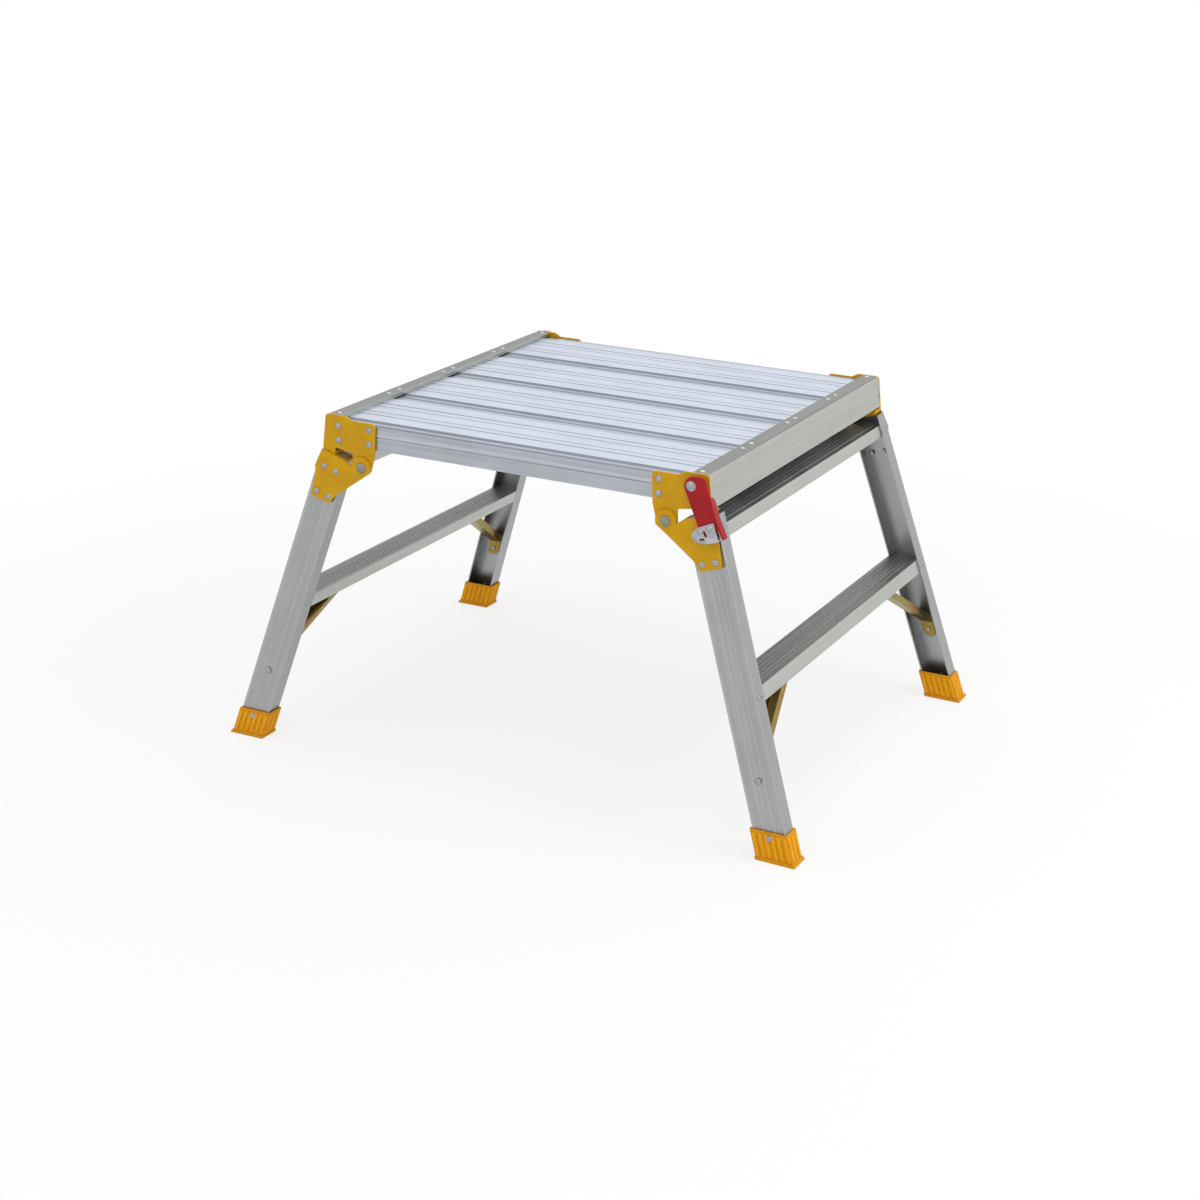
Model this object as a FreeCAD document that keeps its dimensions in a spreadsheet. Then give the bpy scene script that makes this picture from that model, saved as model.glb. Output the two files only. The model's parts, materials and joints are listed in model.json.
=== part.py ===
import FreeCAD, Part
import Sketcher
import math
import os
import re

# Folding aluminium work platform.
# X runs along the front edge, Y into the depth, Z up; the origin is on the
# floor under the middle of the deck.  All sizes are in millimetres.
# Corner shapes are drawn once for the front right corner and mirrored.

Vector = FreeCAD.Vector
doc = FreeCAD.newDocument("work_platform")
sizes = doc.addObject("Spreadsheet::Sheet", "Sizes")
names = []


def size(name, value, note):
    names.append(name)
    row = len(names)
    sizes.set("A%d" % row, name)
    sizes.set("B%d" % row, str(value))
    sizes.set("C%d" % row, note)
    sizes.setAlias("B%d" % row, name)


# ---------------------------------------------------------------- sizes
size("platform_length", 600, "length over the end rails at the top")
size("deck_height", 510, "floor to the top of the end rails")
size("plank_pitch", 151, "depth taken by one of the four deck planks")
size("plank_gap", 0.2, "gap between neighbouring planks")
size("plank_height", 38, "height of a deck plank")
size("plank_skin", 2, "wall of a deck plank")
size("plank_sink", 6, "deck surface below the top of the end rails")
size("plank_end", 4, "end of the planks in from the platform end")
size("rail_width", 25, "top flange of an end rail")
size("rail_sheet", 2.5, "wall of an end rail")
size("rail_flare", 5.5, "outward lean of the end rail at its foot")
size("bracket_sheet", 3, "thickness of brackets and leg plates")
size("slide_gap", 0.3, "gap between sheets that slide on each other")
size("pivot_inset", 60, "hinge pin in from the platform end")
size("pivot_drop", 71, "hinge pin below the deck rail top")
size("lobe", 16, "radius of the plates around the hinge pin")
size("pin_radius", 5, "shaft of the hinge pin")
size("pin_head", 7.8, "head radius of the hinge pin")
size("pin_head_height", 2.5, "head height of the hinge pin")
size("running_gap", 0.05, "radial clearance of a pin in its hole")
size("leg_web", 46, "width of the leg channel")
size("leg_flange", 25, "depth of the leg channel")
size("leg_wall", 2.2, "wall of the leg channel")
size("flute", 0.8, "depth of the shallow flutes along the leg")
size("leg_splay", 17.8, "outward lean of the legs along the platform, degrees")
size("leg_lean", 5, "outward lean of the legs to front and back, degrees")
size("leg_offset", 52.25, "leg centre line outside the hinge pin, at pin height")
size("step_top", 229, "tread of the step above the floor")
size("step_height", 20, "height of the step section")
size("bar_top", 440, "top of the upper crossbar")
size("bar_height", 17, "height of the crossbar section")
size("tread_skin", 2.4, "wall of step and crossbar")
size("brace_width", 20, "width of the brace strip")
size("brace_sheet", 2, "thickness of the brace strip")
size("brace_depth", 9, "height of the brace flanges")
size("brace_low", 108, "lower brace rivet above the floor")
size("brace_reach", 146, "upper brace rivet from the middle in depth")
size("foot_wall", 2.7, "wall of the rubber boot")
size("foot_height", 42, "height of the rubber boot")
size("foot_sole", 4, "sole thickness of the boot")
size("foot_lip", 1.2, "lip around the sole")
size("foot_gap", 0.3, "clearance between boot and leg")
size("rivet_head", 4.8, "head radius of the plate rivets")
size("rivet_rise", 2, "head height of the plate rivets")
size("rivet_shank", 2.5, "shank radius of the plate rivets")
size("rivet_tail", 3.6, "closed end radius of the plate rivets")
size("tail_rise", 1.5, "closed end height of the rivets")
size("rail_rivet_inset", 15.5, "rail rivets in from the platform end")
size("rail_rivet_spread", 14, "rail rivets from a plank joint")
size("rail_rivet_edge", 10, "outer rail rivets in from the deck edge")
size("lever_sheet", 2.5, "thickness of the red latch lever")
size("lever_clear", 2, "lever plate in front of the catch base")
size("lever_pin_inset", 21, "latch pin in from the platform end")
size("lever_pin_drop", 15.3, "latch pin below the rail top")
size("lever_pin_radius", 4, "latch pin inside the lever")
size("catch_sheet", 2, "thickness of the latch catch")
size("catch_span", 5, "room between catch base and catch bridge")
# sizes that follow from the ones above
size("half_length", "=platform_length / 2", "half platform length")
size("half_depth", "=plank_pitch * 2", "half deck depth")
size("deck_top", "=deck_height - plank_sink", "deck surface")
size("plank_base", "=deck_top - plank_height", "underside of the planks")
size("plank_half", "=plank_pitch / 2 - plank_gap / 2", "half plank depth")
size("bracket_face", "=half_depth + bracket_sheet", "outer face of a bracket")
size("plate_back", "=bracket_face + slide_gap", "inner face of a leg plate")
size("plate_face", "=plate_back + bracket_sheet", "outer face of a leg plate")
size("pivot_x", "=half_length - pivot_inset", "hinge pin along the platform")
size("pivot_z", "=deck_height - pivot_drop", "hinge pin height")
size("bend_z", "=pivot_z - lobe - 4", "bend line of the leg plate")
size("splay_rise", "=tan(leg_splay)", "inward run of the leg per mm of height")
size("lean_rise", "=tan(leg_lean)", "run of the leg in depth per mm of height")
size("leg_reach", "=pivot_x + leg_offset + splay_rise * pivot_z", "leg centre at the floor")
size("leg_half", "=leg_web / 2 / cos(leg_splay)", "half leg width, level")
size("wall_run", "=leg_wall / cos(leg_splay)", "leg wall, measured level")
size("foot_y", "=plate_back + bend_z * lean_rise", "leg face at the floor")
size("web_in", "=foot_y - flute - leg_wall", "inside of the leg web at floor")
size("flange_in", "=foot_y - leg_flange", "edge of the leg flange at floor")
size("lever_back", "=plate_face + catch_sheet + lever_clear", "inner face of the lever")
size("lever_face", "=lever_back + lever_sheet", "outer face of the lever")
size("catch_top", "=plate_face + catch_sheet * 2 + catch_span", "catch front")
doc.recompute()


def bound(text):
    def word(match):
        found = match.group()
        return "Sizes." + found if found in names else found
    return re.sub(r"[a-z_]+", word, str(text))


def value(name):
    return float(sizes.get(name))


# ---------------------------------------------------------------- helpers
PLANES = {
    "front": FreeCAD.Rotation(Vector(1, 0, 0), Vector(0, 0, 1), Vector(0, -1, 0), "XYZ"),
    "side": FreeCAD.Rotation(Vector(0, 1, 0), Vector(0, 0, 1), Vector(1, 0, 0), "XYZ"),
    "level": FreeCAD.Rotation(),
}
AXIS = {"front": "y", "side": "x", "level": "z"}


def blank_sketch(name, plane, offset):
    sketch = doc.addObject("Sketcher::SketchObject", name)
    if plane in PLANES:
        sketch.Placement = FreeCAD.Placement(Vector(0, 0, 0), PLANES[plane])
        sketch.setExpression("Placement.Base." + AXIS[plane], bound(offset))
    else:
        sketch.Placement = offset
    return sketch


def outline(name, plane, offset, corners):
    """Closed outline; every corner is held by two bound distances."""
    sketch = blank_sketch(name, plane, offset)
    count = len(corners)
    starts = []
    for i in range(count):
        turn = 2 * math.pi * (i + 0.37) / count
        starts.append(Vector(90 * math.cos(turn), 90 * math.sin(turn), 0))
    lines = []
    rules = []
    for i in range(count):
        lines.append(Part.LineSegment(starts[i], starts[(i + 1) % count]))
        rules.append(Sketcher.Constraint("Coincident", i, 2, (i + 1) % count, 1))
    for i in range(count):
        rules.append(Sketcher.Constraint("DistanceX", -1, 1, i, 1, starts[i].x))
        rules.append(Sketcher.Constraint("DistanceY", -1, 1, i, 1, starts[i].y))
    sketch.addGeometry(lines, False)
    sketch.addConstraint(rules)
    for i in range(count):
        sketch.setExpression("Constraints[%d]" % (count + 2 * i), bound(corners[i][0]))
        sketch.setExpression("Constraints[%d]" % (count + 2 * i + 1), bound(corners[i][1]))
    return sketch


def rings(name, plane, offset, centres, radius):
    """Circles of one bound radius at bound centres."""
    sketch = blank_sketch(name, plane, offset)
    circles = []
    rules = []
    for i in range(len(centres)):
        centre = Vector(31 * i + 7, 11 * i + 5, 0)
        circles.append(Part.Circle(centre, Vector(0, 0, 1), 3))
        rules.append(Sketcher.Constraint("DistanceX", -1, 1, i, 3, centre.x))
        rules.append(Sketcher.Constraint("DistanceY", -1, 1, i, 3, centre.y))
        rules.append(Sketcher.Constraint("Radius", i, 3))
    sketch.addGeometry(circles, False)
    sketch.addConstraint(rules)
    for i in range(len(centres)):
        sketch.setExpression("Constraints[%d]" % (3 * i), bound(centres[i][0]))
        sketch.setExpression("Constraints[%d]" % (3 * i + 1), bound(centres[i][1]))
        sketch.setExpression("Constraints[%d]" % (3 * i + 2), bound(radius))
    return sketch


def prism(name, sketch, forward, backward="0", taper=None):
    solid = doc.addObject("Part::Extrusion", name)
    solid.Base = sketch
    solid.DirMode = "Normal"
    solid.Solid = True
    solid.setExpression("LengthFwd", bound(forward))
    solid.setExpression("LengthRev", bound(backward))
    if taper is not None:
        solid.TaperAngle = taper
    return solid


def slanted(name, sketch, rise):
    """Prism that follows the direction of the front right leg upwards."""
    solid = doc.addObject("Part::Extrusion", name)
    solid.Base = sketch
    solid.DirMode = "Custom"
    solid.Solid = True
    solid.LengthFwd = 0
    solid.LengthRev = 0
    solid.setExpression("Dir.x", bound("-splay_rise * (%s)" % rise))
    solid.setExpression("Dir.y", bound("lean_rise * (%s)" % rise))
    solid.setExpression("Dir.z", bound(rise))
    return solid


def joined(name, parts):
    fused = doc.addObject("Part::MultiFuse", name)
    fused.Shapes = parts
    fused.Refine = True
    return fused


def shared(name, parts):
    common = doc.addObject("Part::MultiCommon", name)
    common.Shapes = parts
    return common


def cut(name, base, tools):
    tool = tools[0]
    if len(tools) > 1:
        tool = doc.addObject("Part::Compound", name + "_tools")
        tool.Links = tools
    result = doc.addObject("Part::Cut", name)
    result.Base = base
    result.Tool = tool
    return result


def rounded(name, base, corners):
    """Rounds the straight edges along Y that stand at the given (u, n) corners."""
    doc.recompute()
    edges = []
    shape = base.Shape
    for u, n, radius in corners:
        x = value("half_length") - u
        z = value("deck_height") - n
        for number, edge in enumerate(shape.Edges, 1):
            first = edge.Vertexes[0].Point
            last = edge.Vertexes[-1].Point
            if abs(first.y - last.y) < 1 or abs(first.x - last.x) > 0.01 or abs(first.z - last.z) > 0.01:
                continue
            if abs(first.x - x) < 0.3 and abs(first.z - z) < 0.3:
                edges.append((number, radius, radius))
                break
    fillet = doc.addObject("Part::Fillet", name)
    fillet.Base = base
    fillet.Edges = edges
    return fillet


def mirrored(name, source, normal):
    copy = doc.addObject("Part::Mirroring", name)
    copy.Source = source
    copy.Base = Vector(0, 0, 0)
    copy.Normal = normal
    return copy


ACROSS = Vector(1, 0, 0)
BEHIND = Vector(0, 1, 0)
nodes = []


def node(label, source):
    source.Label = label
    nodes.append(source)
    return source


def corner(points):
    """(u, n) corners to level positions: u in from the platform end, n down."""
    return [("half_length - (%s)" % u, "deck_height - (%s)" % n) for u, n in points]


def group(name, parts):
    made = doc.addObject("Part::Compound", name)
    made.Links = parts
    return made


def rivets(name, plane, offset, centres, grip, head=("rivet_head", "rivet_rise"),
           shank="rivet_shank", tail=("rivet_tail", "tail_rise")):
    """Low conical head on the outer face, shank through the grip, closed end."""
    low = prism(name + "_head", rings(name + "_head_rings", plane, offset, centres, head[0]),
                "%s * 0.5" % head[1])
    top = prism(name + "_dome", rings(name + "_dome_rings", plane, offset, centres,
                "%s * 0.72" % head[0]), head[1])
    stem = prism(name + "_stem", rings(name + "_stem_rings", plane, offset, centres, shank),
                 "%s * 0.2" % head[1], "(%s) + %s * 0.5" % (grip, tail[1]))
    sign = "+" if plane == "front" else "-"
    end_offset = "%s %s (%s)" % (offset, sign, grip)
    end = prism(name + "_end", rings(name + "_end_rings", plane, end_offset, centres, tail[0]),
                "0", tail[1])
    return joined(name, [low, top, stem, end])


# ---------------------------------------------------------------- deck
def plank_section():
    """Right half of the plank outline from the middle, then the left half."""
    right = [
        ("13.5", "deck_top"), ("14.5", "deck_top - 0.5"), ("15.5", "deck_top"),
        ("28", "deck_top"), ("29.5", "deck_top - 0.9"), ("31", "deck_top"),
        ("plank_half - 18", "deck_top"), ("plank_half - 12.5", "deck_top - 2"),
        ("plank_half - 3", "deck_top - 1.4"), ("plank_half - 0.6", "deck_top - 3.4"),
        ("plank_half - 0.6", "deck_top - 14.4"),
        ("plank_half", "deck_top - 15.6"), ("plank_half", "deck_top - 17.4"),
        ("plank_half - 1.2", "deck_top - 18.8"), ("plank_half - 1.2", "deck_top - 19.2"),
        ("plank_half", "deck_top - 20.6"), ("plank_half", "deck_top - 22.4"),
        ("plank_half - 0.6", "deck_top - 23.6"), ("plank_half - 0.6", "plank_base"),
        ("plank_half - 13", "plank_base"), ("plank_half - 13", "plank_base + plank_skin"),
        ("plank_half - 1.2 - plank_skin", "plank_base + plank_skin"),
        ("plank_half - 1.2 - plank_skin", "deck_top - 4 - plank_skin"),
        ("plank_half - 19.6", "deck_top - plank_skin"),
        ("30.5", "deck_top - plank_skin"), ("30.5", "deck_top - 24"),
        ("28.5", "deck_top - 24"), ("28.5", "deck_top - plank_skin"),
    ]
    left = [("-(%s)" % across, up) for across, up in reversed(right)]
    return right + left


rail_spots = []
for side in ("", "-"):
    for joint in ("-plank_pitch", "0", "plank_pitch"):
        for way in ("-", "+"):
            rail_spots.append((side + "(half_length - rail_rivet_inset)",
                               "%s %s rail_rivet_spread" % (joint, way)))
    for edge in ("-", ""):
        rail_spots.append((side + "(half_length - rail_rivet_inset)",
                           "%s(half_depth - rail_rivet_edge)" % edge))
# straight shank holes down through rail flange and plank skin
rail_holes = prism("rail_holes", rings("rail_hole_rings", "level", "deck_height", rail_spots,
                   "rivet_shank - 0.5 + running_gap"), "5", "12")

plate_spots = corner([("lever_pin_inset", "lever_pin_drop"), ("lever_pin_inset", "36"),
                      ("72.3", "lever_pin_drop"), ("72.3", "35.5")])
bracket_holes = prism("bracket_holes", rings("bracket_hole_rings", "front", "-bracket_face",
                      plate_spots, "rivet_shank + running_gap"), "1", "bracket_sheet + 6")
bracket_holes_left = mirrored("bracket_holes_left", bracket_holes, ACROSS)
front_holes = group("front_holes", [bracket_holes, bracket_holes_left])
back_holes = mirrored("back_holes", front_holes, BEHIND)

for index in range(4):
    number = index + 1
    section = outline("plank_section_%d" % number, "side", "-(half_length - plank_end)",
                      plank_section())
    section.setExpression("Placement.Base.y", bound("plank_pitch * %s" % (index - 1.5)))
    blank = prism("plank_blank_%d" % number, section, "2 * (half_length - plank_end)")
    tools = [rail_holes]
    if index == 0:
        tools.append(front_holes)
    if index == 3:
        tools.append(back_holes)
    node("deck_plank_%d" % number, cut("plank_%d" % number, blank, tools))

# ---------------------------------------------------------------- end rails
rail_section = outline("rail_section", "front", "half_depth", [
    ("half_length - rail_width", "deck_top + 0.1"),
    ("half_length - rail_width", "deck_height"),
    ("half_length - 4", "deck_height"),
    ("half_length - 1.2", "deck_height - 1.2"),
    ("half_length", "deck_height - 4"),
    ("half_length + 2.8", "deck_height - 27"),
    ("half_length + 2.4", "deck_height - 28.2"),
    ("half_length + rail_flare", "plank_base - 2"),
    ("half_length - 12", "plank_base - 2"),
    ("half_length - 12", "plank_base"),
    ("half_length + rail_flare - 2.7", "plank_base"),
    ("half_length - 0.2", "deck_height - 28.2"),
    ("half_length - rail_sheet", "deck_height - 4.2"),
    ("half_length - rail_sheet - 1.2", "deck_height - rail_sheet"),
    ("half_length - rail_width + 2", "deck_height - rail_sheet"),
    ("half_length - rail_width + 2", "deck_top + 0.1"),
])
rail_blank = prism("rail_blank", rail_section, "half_depth * 2")
rail_right = node("end_rail_right", cut("rail_right", rail_blank, [rail_holes]))
node("end_rail_left", mirrored("rail_left", rail_right, ACROSS))
rail_rivets = rivets("rail_rivet", "level", "deck_height", rail_spots,
                     "11.2", head=("3.3", "1.4"), shank="rivet_shank - 0.5",
                     tail=("2.8", "tail_rise"))
node("rail_rivets", rail_rivets)

# ---------------------------------------------------------------- brackets
bracket_outline = outline("bracket_outline", "front", "-half_depth", corner([
    ("0", "0"), ("34", "0"), ("44", "5.5"), ("83", "5.5"), ("81", "50"),
    ("pivot_inset + 14", "pivot_drop + 5"), ("pivot_inset + 5", "pivot_drop + 12"),
    ("pivot_inset - 12", "pivot_drop + 12"), ("pivot_inset - lobe", "pivot_drop"),
    ("44.5", "60"), ("44.5", "53"), ("14", "47.5"), ("14", "58.2"), ("-6", "51.7"),
    ("-5.5", "46"),
]))
bracket_blank = prism("bracket_blank", bracket_outline, "bracket_sheet")
lobe_corners = [
    (value("pivot_inset") + 14, value("pivot_drop") + 5, 3),
    (value("pivot_inset") - 12, value("pivot_drop") + 12, 6),
]
bracket_round = rounded("bracket_round", bracket_blank, lobe_corners + [
    (0, 0, 5), (34, 0, 5), (44, 5.5, 5), (83, 5.5, 6), (81, 50, 8), (44.5, 53, 3), (14, 47.5, 3)])
stop_outline = outline("stop_outline", "front", "-half_depth", corner([
    ("14", "58.2"), ("-6", "51.7"), ("-5.07", "48.85"), ("14", "55.05")]))
stop_flange = prism("stop_flange", stop_outline, "bracket_sheet * 0.5", "20")
pin_spot = [("pivot_x", "pivot_z")]
pin_hole = prism("pin_hole", rings("pin_hole_ring", "front", "-half_depth", pin_spot,
                 "pin_radius + running_gap"), "12", "4")
bracket = cut("bracket_front_right", joined("bracket_joined", [bracket_round, stop_flange]),
              [pin_hole, bracket_holes])
bracket_left = mirrored("bracket_front_left", bracket, ACROSS)
node("bracket_front_right", bracket)
node("bracket_front_left", bracket_left)
node("bracket_back_right", mirrored("bracket_back_right", bracket, BEHIND))
node("bracket_back_left", mirrored("bracket_back_left", bracket_left, BEHIND))

plate_grip = "bracket_sheet + plank_gap / 2 + plank_skin + 1.3"
rivets_three = rivets("rivets_three", "front", "-bracket_face", plate_spots[1:], plate_grip)
rivets_four = rivets("rivets_four", "front", "-bracket_face", plate_spots, plate_grip)
four_left = mirrored("rivets_front_left", rivets_four, ACROSS)
four_back = mirrored("rivets_back_right", rivets_four, BEHIND)
three_left = mirrored("rivets_three_left", rivets_three, ACROSS)
three_back = mirrored("rivets_back_left", three_left, BEHIND)
node("bracket_rivets", group("bracket_rivets", [rivets_three, four_left, four_back, three_back]))

# hinge pins: head outside, shaft through both plates, closed end inside
pin_shaft = prism("pin_shaft", rings("pin_shaft_ring", "front", "-half_depth", pin_spot,
                  "pin_radius"), "plate_face - half_depth + 0.5", "0.5")
pin_low = prism("pin_low", rings("pin_low_ring", "front", "-plate_face - 0.1", pin_spot,
                "pin_head"), "pin_head_height * 0.45")
pin_top = prism("pin_top", rings("pin_top_ring", "front", "-plate_face - 0.1", pin_spot,
                "pin_head - 1.6"), "pin_head_height - 0.1")
pin_end = prism("pin_end", rings("pin_end_ring", "front", "-half_depth + 0.1", pin_spot,
                "pin_head - 0.8"), "0", "2.4")
pin = joined("pin_front_right", [pin_shaft, pin_low, pin_top, pin_end])
pin_left = mirrored("pin_front_left", pin, ACROSS)
pin_back = mirrored("pin_back_right", pin, BEHIND)
pin_back_left = mirrored("pin_back_left", pin_left, BEHIND)
node("hinge_pins", group("hinge_pins", [pin, pin_left, pin_back, pin_back_left]))

# ---------------------------------------------------------------- legs
LEG_TOP = "bend_z + 40"


def leg_x(offset, height="0"):
    return "leg_reach + (%s) - splay_rise * (%s)" % (offset, height)


def level_outline(name, height, points):
    """Outline at one height, given about the leg centre line and the leg face."""
    return outline(name, "level", height, [
        (leg_x(across, height), "-foot_y + lean_rise * (%s) + (%s)" % (height, deep))
        for across, deep in points])


leg_section = level_outline("leg_section", "foot_sole", [
    ("-leg_half", "0"), ("-leg_half + 2", "0"), ("-leg_half + 3", "flute"),
    ("-8.9", "flute"), ("-8", "0"), ("-7.1", "flute"),
    ("7.1", "flute"), ("8", "0"), ("8.9", "flute"),
    ("leg_half - 3", "flute"), ("leg_half - 2", "0"), ("leg_half", "0"),
    ("leg_half", "leg_flange"), ("leg_half - wall_run", "leg_flange"),
    ("leg_half - wall_run", "flute + leg_wall"), ("wall_run - leg_half", "flute + leg_wall"),
    ("wall_run - leg_half", "leg_flange"), ("-leg_half", "leg_flange"),
])
leg_blank = slanted("leg_blank", leg_section, LEG_TOP + " - foot_sole")
# top edge of the leg plate: through (u -6, n 52) and (u 34, n 65)
plate_slope = "0.325"
leg_trim = prism("leg_trim", outline("leg_trim_outline", "front", "-half_depth + 40", corner([
    ("-60", "52 - 54 * %s + 3.9" % plate_slope), ("80", "52 + 86 * %s + 3.9" % plate_slope),
    ("80", "0"), ("-60", "0")])), "60")
low_spots = corner([("3.7", "121.6"), ("-15.8", "115.8")])
high_spots = corner([("-3.5", "77"), ("16.5", "83")])
plate_hole_tool = prism("plate_hole_tool", rings("plate_hole_rings", "front", "-half_depth",
                        low_spots + high_spots, "rivet_shank + running_gap"), "14", "14")
brace_spot = [(leg_x("0", "brace_low"), "brace_low")]
brace_hole_tool = prism("brace_hole_tool", rings("brace_hole_ring", "front", "-foot_y",
                        brace_spot, "rivet_shank + running_gap"), "5", "30")
screw_spot = [(leg_x("0", "33"), "33")]
screw_hole_tool = prism("screw_hole_tool", rings("screw_hole_ring", "front", "-foot_y",
                        screw_spot, "2 + running_gap"), "12", "20")

# the side of the leg flange, tilted with the splay
splay = math.radians(value("leg_splay"))
tilt = FreeCAD.Rotation(Vector(0, 1, 0), Vector(-math.sin(splay), 0, math.cos(splay)),
                        Vector(math.cos(splay), 0, math.sin(splay)), "XYZ")
flange_plane = FreeCAD.Placement(
    Vector(value("leg_reach") + value("leg_half"), -value("foot_y"), 0), tilt)


def flange_spots(height):
    """Two rivets side by side on the outer leg flange at a height."""
    rise = "(%s) / cos(leg_splay)" % height
    return [("lean_rise * (%s) + 9" % height, rise), ("lean_rise * (%s) + 19" % height, rise)]


cross_spots = flange_spots("step_top - step_height * 0.5")
cross_spots += flange_spots("bar_top - bar_height * 0.5")
cross_hole_tool = prism("cross_hole_tool", rings("cross_hole_rings", "tilted", flange_plane,
                        cross_spots, "2 + running_gap"), "4", "9")
leg = cut("leg_front_right", leg_blank, [leg_trim, plate_hole_tool, brace_hole_tool,
                                         screw_hole_tool, cross_hole_tool])

# ---------------------------------------------------------------- leg plates
plate_outline = outline("plate_outline", "front", "-plate_face - 10", corner([
    ("-6", "52"), ("34", "65"), ("pivot_inset - lobe", "72"),
    ("pivot_inset - lobe", "pivot_drop - lobe"), ("pivot_inset + lobe", "pivot_drop - lobe"),
    ("pivot_inset + 14.5", "pivot_drop + 6"), ("16", "118.5"), ("5.3", "131"), ("-26", "122"),
    ("-18", "88"), ("-19", "78"),
]))
plate_thick = prism("plate_thick", plate_outline, "0", "16")
lobe_tops = [
    (value("pivot_inset") - value("lobe"), value("pivot_drop") - value("lobe"), value("lobe") - 2),
    (value("pivot_inset") + value("lobe"), value("pivot_drop") - value("lobe"), value("lobe") - 1),
]
plate_round = rounded("plate_round", plate_thick, lobe_tops + [
    (value("pivot_inset") + 14.5, value("pivot_drop") + 6, 2.5), (16, 118.5, 7), (5.3, 131, 4),
    (-26, 122, 4), (-18, 88, 3), (-19, 78, 3), (-6, 52, 4)])
bent_sheet = prism("bent_sheet", outline("bent_sheet_outline", "side", "half_length - 100", [
    ("-plate_back", "deck_height"), ("-plate_face", "deck_height"), ("-plate_face", "bend_z"),
    ("-plate_face - 60 * lean_rise", "bend_z - 60"),
    ("-plate_back - 60 * lean_rise", "bend_z - 60"), ("-plate_back", "bend_z")]), "150")
plate_flange = prism("plate_flange", outline("plate_flange_outline", "front", "-plate_face", corner([
    ("-2.5", "53.14"), ("34", "65"), ("33.07", "67.85"), ("-3.43", "55.99")])), "0", "leg_flange")
plate_body = joined("plate_body", [shared("plate_bent", [plate_round, bent_sheet]), plate_flange])
leg_plate = cut("leg_plate_front_right", plate_body, [pin_hole, plate_hole_tool])

low_raw = rivets("plate_low", "front", "-plate_face - 2.2", low_spots, "8.8")
high_raw = rivets("plate_high", "front", "-plate_face", high_spots, "7.6")
catch_raw = rivets("catch_fix", "front", "-plate_face - catch_sheet", high_spots,
                   "7.6 + catch_sheet", head=("3.4", "1.4"))

# ---------------------------------------------------------------- step and crossbar
def cross_section(name, top, height):
    outer = "leg_half - wall_run - 0.05"
    low = "(%s) - (%s)" % (top, height)
    under = "(%s) - tread_skin" % top
    wall = "tread_skin - 0.2"
    points = [(leg_x(outer, top), top)]
    for place in ("14", "7", "0", "-7", "-14"):
        spot = leg_x("%s - 1" % place, top)
        points += [("%s + 1.2" % spot, top), (spot, "(%s) - 1" % top), ("%s - 1.2" % spot, top)]
    points += [(leg_x("-leg_half", top), top), (leg_x("-leg_half", low), low),
               (leg_x("-leg_half + " + wall, low), low),
               (leg_x("-leg_half + " + wall, under), under),
               (leg_x(outer + " - " + wall, under), under),
               (leg_x(outer + " - " + wall, low), low), (leg_x(outer, low), low)]
    return outline(name, "front", "0", points)


def cross_member(name, top, height):
    reach = "web_in - lean_rise * (%s) - 0.1" % top
    section = cross_section(name + "_section", top, height)
    return prism(name + "_blank", section, reach, reach)


notch = slanted("notch", level_outline("notch_outline", "foot_sole", [
    ("-leg_half - 6", "-6"), ("wall_run - leg_half + 0.3", "-6"),
    ("wall_run - leg_half + 0.3", "leg_flange + 0.5"), ("-leg_half - 6", "leg_flange + 0.5")]),
    LEG_TOP + " - foot_sole")
notch_back = mirrored("notch_back", notch, BEHIND)
cross_holes_back = mirrored("cross_holes_back", cross_hole_tool, BEHIND)
top_spot = [(leg_x("0", "step_top"), "-brace_reach"), (leg_x("0", "step_top"), "brace_reach")]
step_holes = prism("step_holes", rings("step_hole_rings", "level", "step_top", top_spot,
                   "2 + running_gap"), "2", "8")
step = cut("step_right", cross_member("step", "step_top", "step_height"),
           [notch, notch_back, cross_hole_tool, cross_holes_back, step_holes])
bar = cut("top_bar_right", cross_member("bar", "bar_top", "bar_height"),
          [notch, notch_back, cross_hole_tool, cross_holes_back])

# ---------------------------------------------------------------- braces
web_low = "-web_in + lean_rise * (brace_low - 12)"
web_high = "-web_in + lean_rise * (brace_low + 14)"
seat = "step_top - tread_skin"
brace_path = [
    (web_low, "brace_low - 12"), (web_high, "brace_low + 14"),
    ("-brace_reach - 12", seat), ("-brace_reach + 11", seat),
    ("-brace_reach + 11", seat + " - brace_sheet"),
    ("-brace_reach - 11", seat + " - brace_sheet"),
    (web_high + " + brace_sheet", "brace_low + 13"), (web_low + " + brace_sheet", "brace_low - 12"),
]
strip = prism("brace_strip", outline("brace_strip_outline", "side", "0", brace_path),
              "platform_length")
brace_run = "(web_in - lean_rise * (brace_low + 14) - brace_reach - 12)"
brace_climb = "(%s - brace_low - 14)" % seat
flange_back = "brace_depth * sqrt(1 + (%s / %s)^2)" % (brace_run, brace_climb)
flange_high = "(brace_low + 14 + brace_depth * sqrt(1 + (%s / %s)^2))" % (brace_climb, brace_run)
deep_path = [
    (web_high, "brace_low + 14"), ("-brace_reach - 12", seat),
    ("-brace_reach - 12 - " + flange_back, seat),
    ("-web_in + 0.05 + lean_rise * " + flange_high, flange_high),
]
deep = prism("brace_deep", outline("brace_deep_outline", "side", "0", deep_path),
             "platform_length")


def lean_slab(name, half):
    """Upright slab that follows the splay of the leg, brace wide."""
    return prism(name, outline(name + "_outline", "front", "0", [
        (leg_x("-(%s)" % half, "50"), "50"), (leg_x(half, "50"), "50"),
        (leg_x(half, "260"), "260"), (leg_x("-(%s)" % half, "260"), "260")]), "foot_y + 20")


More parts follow.
